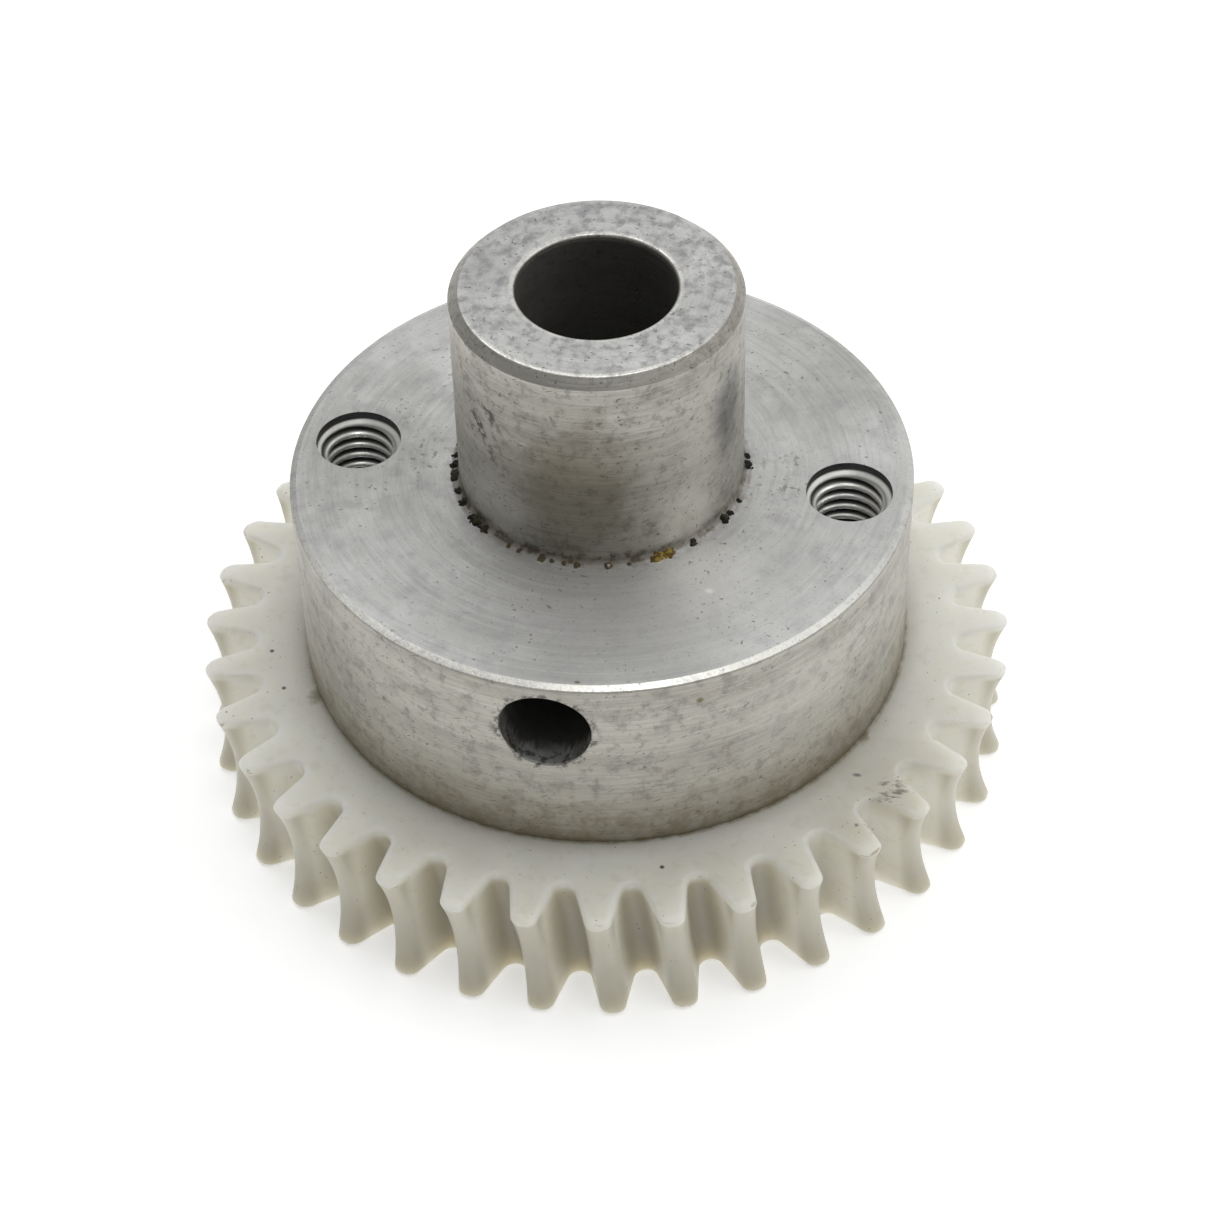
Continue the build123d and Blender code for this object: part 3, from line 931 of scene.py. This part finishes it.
class NaturalNylon(Paint):
    """Milky nylon that light gets into, with painted shade in its front gaps, low down and on its tips,
    painted light at its sides, and grime and painted shade against the flange. Sizes are in mm.
    """

    face, rim, tips = flange_bottom / MM, flange_radius / MM, throat_tip_radius / MM

    def __init__(self):
        super().__init__("natural_nylon", Roughness=0.42, Subsurface_Weight=1.0,
                         Subsurface_Scale=2.4 * MM, Subsurface_Radius=(1.0, 0.9, 0.7), IOR=1.53)
        self.clouds = self.noise(self.point, 5.0, 3.0)
        self.blots = self.noise(self.point, 0.7, 4.0, 0.6)
        self.pits = self.noise(self.point, 0.22, 1.0, 0.5)

    def tones(self):
        """Painted light and shade: paler at the sides and in the side gaps, darker in the front gaps, low
        down, on the tips' outer lands and at the front right.
        """
        z, radius, face, tips = self.z, self.radius, self.face, self.tips
        aside = self.math("ABSOLUTE", self.x)
        sideways = self.smooth(aside, 8.0, 18.0)
        gaps = self.both((radius, tips - 0.2, tips - 2.1), (z, face - 0.05, face - 0.9))
        colour = self.coats(
            self.mix((self.clouds, 0.3, 0.7), (0.735, 0.725, 0.66), (0.81, 0.805, 0.745)),
            # painted light: paler towards the left and right ends
            ((0.88, 0.875, 0.83), (aside, 13.0, 20.5), 0.35),
            # painted shade: the front gaps painted darker and browner
            ((0.56, 0.52, 0.39), gaps, self.mixed(sideways, 0.8, 0.0)),
            # painted light: the side gaps painted paler, a painted glow
            ((0.9, 0.895, 0.85), gaps, sideways, 0.75),
            # painted shade: darker low down
            ((0.6, 0.58, 0.51), (z, 4.0, 0.5, 0.0, 0.4)))
        colour = self.coats(
            colour,
            # painted shade: the tips' outer lands painted darker
            ((0.68, 0.67, 0.62), (radius, tips - 0.8, tips), (z, face - 0.1, face - 0.6)),
            # painted shade: darker at the front right
            ((0.82, 0.81, 0.78), self.near((16.5, -10.0, face), (6.0, 6.0, 2.0), 0.3, 2.0), 0.8),
            blend="MULTIPLY")
        return self.coats(colour, ((0.52, 0.47, 0.34), (self.blots, 0.52, 0.67), 0.16))

    def grime_and_shade(self, colour):
        """Grime and painted shade against the flange, and marks on the face."""
        radius, face, rim, pits = self.radius, self.face, self.rim, self.pits
        level = self.smooth(self.z, face - 0.1, face)
        stains = self.either(self.near((-13.9, -8.1, face), (0.7, 0.9, 0.5), 0.5, 0.4),
                             self.near((14.75, -6.5, face), (0.35, 0.6, 0.5), 0.5, 0.3))
        stretched = self.node("ShaderNodeVectorMath", self.point, (1.0, 2.2, 1.0), operation="MULTIPLY")
        smears = self.noise(stretched.outputs[0], 0.8, 4.0, 0.6)
        self.scuffs = self.either(
            self.both(self.near((16.6, -10.1, face), (1.3, 1.2, 0.7), 0.7, 0.6), (smears, 0.5, 0.58)),
            self.both(self.near((17.3, -9.3, face), (1.2, 1.0, 0.7), 0.7, 0.5), (pits, 0.6, 0.64)),
            self.both(self.near((15.5, -12.8, face), (1.2, 1.0, 0.7), 0.7, 0.5), (pits, 0.64, 0.68)),
            self.near((14.7, -9.2, face), (0.32, 0.17, 0.5)))
        colour = self.coats(
            colour,
            # grime and painted shade: a darker olive band on the face against the flange
            ((0.55, 0.51, 0.38), (radius, rim + 1.3, rim), level, (self.clouds, 0.25, 0.6, 0.4, 1.0), 0.5),
            ((0.3, 0.23, 0.09), (radius, rim + 0.26, rim + 0.02), (self.blots, 0.3, 0.62), level,
             (self.x, -6.0, 8.0, 0.35, 0.7)),
            ((0.2, 0.15, 0.05), stains, 0.65),
            ((0.13, 0.125, 0.11), self.scuffs, 0.75),
            ((0.16, 0.145, 0.11), (pits, 0.765, 0.785), 0.7))
        for dot in ((-15.82, -7.86, face), (-17.13, -5.29, face), (5.9, -16.9, face), (6.6, -20.6, 4.9)):
            colour = self.coats(colour, ((0.07, 0.065, 0.05), self.near(dot, 0.17)))
        return colour

    def finished(self):
        z, face, tips = self.z, self.face, self.tips
        tip_line = self.both((self.radius, tips + 0.1, tips + 0.35), (z, face - 0.55, face - 0.4),
                             (z, face - 0.05, face - 0.2), (self.streaks(2.0, 0.16, 1.3, 2.0), 0.54, 0.6),
                             (self.noise(self.point, 3.0, 1.0), 0.44, 0.56))
        colour = self.coats(self.grime_and_shade(self.tones()), ((0.25, 0.2, 0.13), tip_line, 0.6))
        height = self.minus(self.both(self.blots, 0.6), self.either(tip_line, self.scuffs))
        return self.finish(Base_Color=colour, Normal=self.bump(height, 0.25, 0.06))


def steel(name, metallic, size, dark, light, gloss, dullness):
    paint = Paint(name, Metallic=metallic)
    patches = paint.noise(paint.point, size, 4.0, 0.6)
    colour = paint.mix((patches, 0.3, 0.7), dark, light)
    return paint.finish(Base_Color=colour, Roughness=paint.mixed(patches, gloss, dullness))


def plated_steel():
    return steel("zinc_plated_steel", 1.0, 0.8, (0.5, 0.51, 0.52), (0.64, 0.65, 0.66), 0.28, 0.5)


def blackened_steel():
    return steel("black_oxide_steel", 0.7, 0.5, (0.03, 0.03, 0.033), (0.075, 0.075, 0.08), 0.3, 0.55)


def pale_floor():
    return Paint("pale_floor", Roughness=0.9, Specular_IOR_Level=0.1, Base_Color=(0.92, 0.92, 0.92, 1),
                 Emission_Color=(1, 1, 1, 1), Emission_Strength=0.42).material


# ---- the pieces ----
for piece, material, body, node, slot in (
    (turned_hub(), TurnedAluminium().finished(), "wheel", "hub", "turned_aluminium"),
    (nylon_ring(), NaturalNylon().finished(), "wheel", "gear_ring", "natural_nylon"),
    (threaded_set_screw(), blackened_steel(), "clamp_screw", "set_screw", "blackened_steel"),
):
    piece.data.materials.append(material)
    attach(piece, body)
    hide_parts(node)

zinc = plated_steel()
for name in ("ring_screw_left", "ring_screw_right"):
    screw = frame["nodes"][name]
    for material_slot in screw.material_slots:
        material_slot.material = zinc

# ---- floor, light and camera ----
floor_mesh = bpy.data.meshes.new("floor")
reach = 3.0
floor_mesh.from_pydata([(-reach, -reach, 0), (reach, -reach, 0), (reach, reach, 0), (-reach, reach, 0)],
                       [], [(0, 1, 2, 3)])
floor_mesh.materials.append(pale_floor())
floor = put_in_scene("floor", floor_mesh)

camera_azimuth = radians(11.33)
camera_elevation = radians(44.589)
camera_roll = radians(-1.589)
camera_distance = 170.86 * MM
target_right = 0.086 * MM
target_height = 7.8 * MM


def softbox(name, azimuth, elevation, size, watts, distance=0.7):
    light = bpy.data.lights.new(name, "AREA")
    light.shape = "DISK"
    light.size = size
    light.energy = watts
    lamp = put_in_scene(name, light)
    a, e = radians(azimuth), radians(elevation)
    away = Vector((sin(a) * cos(e), -cos(a) * cos(e), sin(e)))
    lamp.location = away * distance
    lamp.rotation_euler = away.to_track_quat("Z", "Y").to_euler()


softbox("overhead", 40, 78, 0.26, 0.55)
softbox("behind_left", -130, 58, 0.34, 0.42)
softbox("fill_from_the_right", 100, 46, 0.4, 0.4)

# a pale room that is brightest overhead, a little behind the object and to its right
world = bpy.data.worlds.new("studio")
sky = Nodes(world)
round_camera = Matrix.Rotation(camera_azimuth, 3, "Z")
brightest = (round_camera @ Vector((0.34, 0.62, 1.0))).normalized()
direction = sky.node("ShaderNodeTexCoord").outputs["Generated"]
towards = sky.node("ShaderNodeVectorMath", direction, brightest, operation="DOT_PRODUCT").outputs["Value"]
glow = sky.math("POWER", sky.math("MAXIMUM", towards, 0.0), 1.5)
sky.fill(sky.tree.nodes["Background"], Color=(1, 1, 1, 1), Strength=sky.math("MULTIPLY_ADD", glow, 0.9, 0.12))
bpy.context.scene.world = world

camera_data = bpy.data.cameras.new("camera")
camera_data.lens = 94.6
camera_data.sensor_width = 36
camera_data.clip_start = 0.01
camera = put_in_scene("camera", camera_data)
turn = round_camera @ Matrix.Rotation(pi / 2 - camera_elevation, 3, "X")
placing = (turn @ Matrix.Rotation(camera_roll, 3, "Z")).to_4x4()
placing.translation = turn @ Vector((target_right, 0, camera_distance)) + Vector((0, 0, target_height))
camera.matrix_world = placing
bpy.context.scene.camera = camera
bpy.context.scene.view_settings.view_transform = "Standard"
